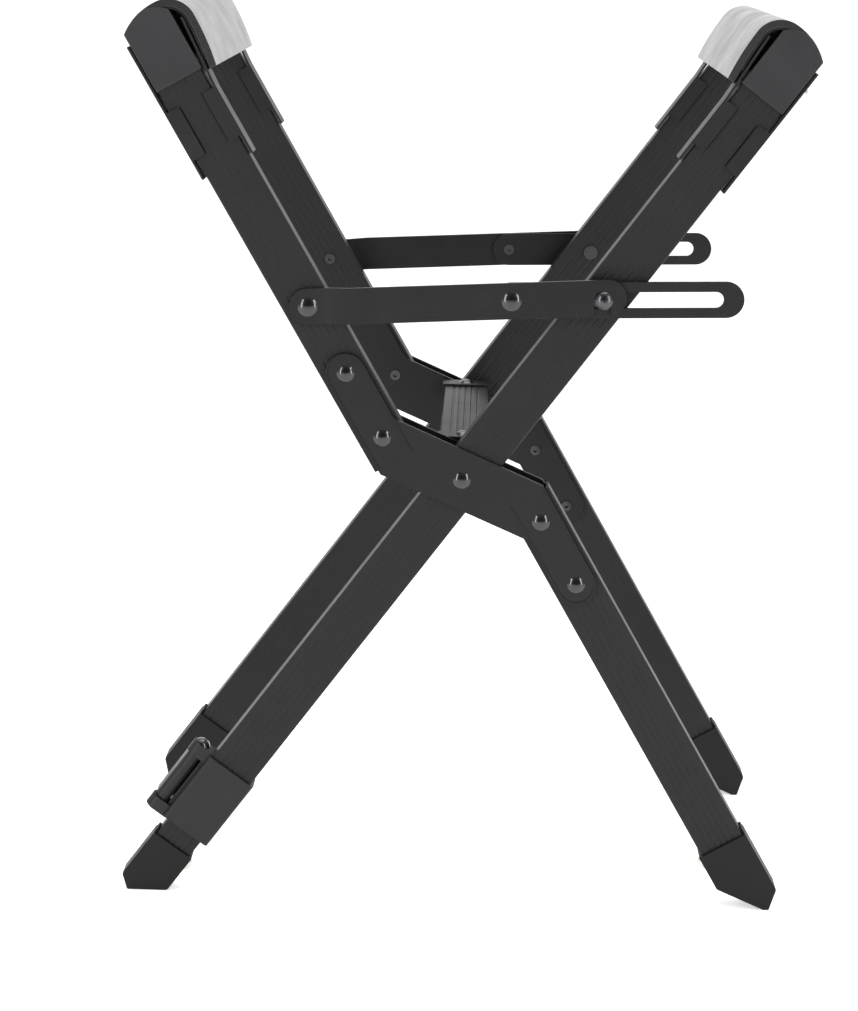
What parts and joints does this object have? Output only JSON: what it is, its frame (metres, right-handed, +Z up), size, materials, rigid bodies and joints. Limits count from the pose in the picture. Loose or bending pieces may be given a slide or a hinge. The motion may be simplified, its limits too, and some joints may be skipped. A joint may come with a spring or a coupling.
{
  "type": "folding sawhorse",
  "caption": "Folding sawhorse with crossed legs, rounded top rails, hooked folding stays, a cross tube and one sliding, clamped levelling foot.",
  "frame": {"origin": "on the floor, under the pivot axis, midway between the front and rear frames", "axes": "+X to the right in the front view, -Y towards the frame with the levelling foot, +Z up"},
  "size_m": [0.5652, 0.327, 0.76],
  "materials": {
    "tube": "dark grey anodised extrusion",
    "plate": "black powder coat, fine texture",
    "clip": "black coated sheet",
    "rivet": "glossy black dome",
    "screw": "bright zinc plated",
    "cover": "smooth black, slight sheen",
    "core": "dark anodised",
    "bush": "natural nylon",
    "cap": "smooth dark grey moulding",
    "foot": "dark grey moulding with fine texture",
    "clamp": "glass-filled dark grey moulding"
  },
  "bodies": {
    "cranked_frame": {"upper_leg_tube_front": "tube", "upper_leg_tube_rear": "tube", "lower_leg_tube_front": "tube", "lower_leg_tube_rear": "tube", "outer_pivot_plate_front": "plate", "outer_pivot_plate_rear": "plate", "inner_pivot_plate_front": "plate", "inner_pivot_plate_rear": "plate", "plate_rivets": "rivet", "pivot_pins": "rivet", "cross_tube": "tube", "cross_tube_bracket_front": "clip", "cross_tube_bracket_rear": "clip", "cross_tube_rivets": "rivet", "left_cap_front": "cap", "left_cap_rear": "cap", "left_rail_core": "core", "left_rail_cover": "cover", "left_rail_beam": "tube", "left_outer_clip_front": "clip", "left_outer_clip_rear": "clip", "left_inner_clip_front": "clip", "left_inner_clip_rear": "clip", "right_foot_front": "foot", "right_foot_rear": "foot", "right_foot_screws": "screw", "stay_pivot_rivets": "rivet"},
    "straight_frame": {"straight_leg_tube_front": "tube", "straight_leg_tube_rear": "tube", "pivot_bushes": "bush", "right_cap_front": "cap", "right_cap_rear": "cap", "right_rail_core": "core", "right_rail_cover": "cover", "right_rail_beam": "tube", "right_outer_clip_front": "clip", "right_outer_clip_rear": "clip", "right_inner_clip_front": "clip", "right_inner_clip_rear": "clip", "rail_screws": "screw", "left_foot_rear": "foot", "left_foot_screw": "screw", "stay_studs": "screw", "clamp_collar": "clamp", "lever_pin": "rivet"},
    "lever": {"clamp_lever": "clamp"},
    "hook_front": {"hook_bar_front": "plate", "hook_rivet_front": "rivet"},
    "hook_rear": {"hook_bar_rear": "plate", "hook_rivet_rear": "rivet"},
    "slide_bush_front": {"stay_bush_front": "bush"},
    "slide_bush_rear": {"stay_bush_rear": "bush"},
    "slotted_front": {"slotted_bar_front": "plate", "slot_rivet_front": "rivet"},
    "slotted_rear": {"slotted_bar_rear": "plate", "slot_rivet_rear": "rivet"},
    "extension": {"extension_tube": "tube", "extension_foot": "foot", "extension_foot_screw": "screw"}
  },
  "joints": [
    {"name": "fold", "type": "hinge", "parent": "cranked_frame", "child": "straight_frame", "pos_m": [0, 0, 0.372], "axis": [0, -1, 0], "range_deg": [0, 61.5]},
    {"name": "hook_front", "type": "hinge", "parent": "cranked_frame", "child": "hook_front", "pos_m": [-0.13115, -0.152, 0.51401], "axis": [0, -1, 0], "range_deg": [-0.1, 102.1]},
    {"name": "slide_bush_front", "type": "hinge", "parent": "straight_frame", "child": "slide_bush_front", "pos_m": [0.11204, -0.155, 0.52792], "axis": [0, -1, 0], "range_deg": [-118.15, 0.1]},
    {"name": "slotted_front", "type": "slide", "parent": "slide_bush_front", "child": "slotted_front", "axis": [0.9993, 0, 0.0368], "range_m": [-0.0845, 0.0002]},
    {"name": "hook_rear", "type": "hinge", "parent": "cranked_frame", "child": "hook_rear", "pos_m": [-0.13115, 0.152, 0.51401], "axis": [0, -1, 0], "range_deg": [-0.1, 102.1]},
    {"name": "slide_bush_rear", "type": "hinge", "parent": "straight_frame", "child": "slide_bush_rear", "pos_m": [0.11204, 0.155, 0.52792], "axis": [0, -1, 0], "range_deg": [-118.15, 0.1]},
    {"name": "slotted_rear", "type": "slide", "parent": "slide_bush_rear", "child": "slotted_rear", "axis": [0.9993, 0, 0.0368], "range_m": [-0.0845, 0.0002]},
    {"name": "clamp_lever", "type": "hinge", "parent": "straight_frame", "child": "lever", "pos_m": [-0.23438, -0.14, 0.10204], "axis": [0.5835, 0, 0.8121], "range_deg": [0, 110]},
    {"name": "extension", "type": "slide", "parent": "straight_frame", "child": "extension", "axis": [-0.5835, 0, -0.8121], "range_m": [-0.008, 0.12]}
  ],
  "couplings": [
    {"joint": "hook_front", "follows": "fold", "ratio": 1.6585},
    {"joint": "slide_bush_front", "follows": "fold", "ratio": -1.9196},
    {"joint": "slotted_front", "follows": "fold", "m_per_rad": -0.078535},
    {"joint": "hook_rear", "follows": "fold", "ratio": 1.6585},
    {"joint": "slide_bush_rear", "follows": "fold", "ratio": -1.9196},
    {"joint": "slotted_rear", "follows": "fold", "m_per_rad": -0.078535}
  ]
}
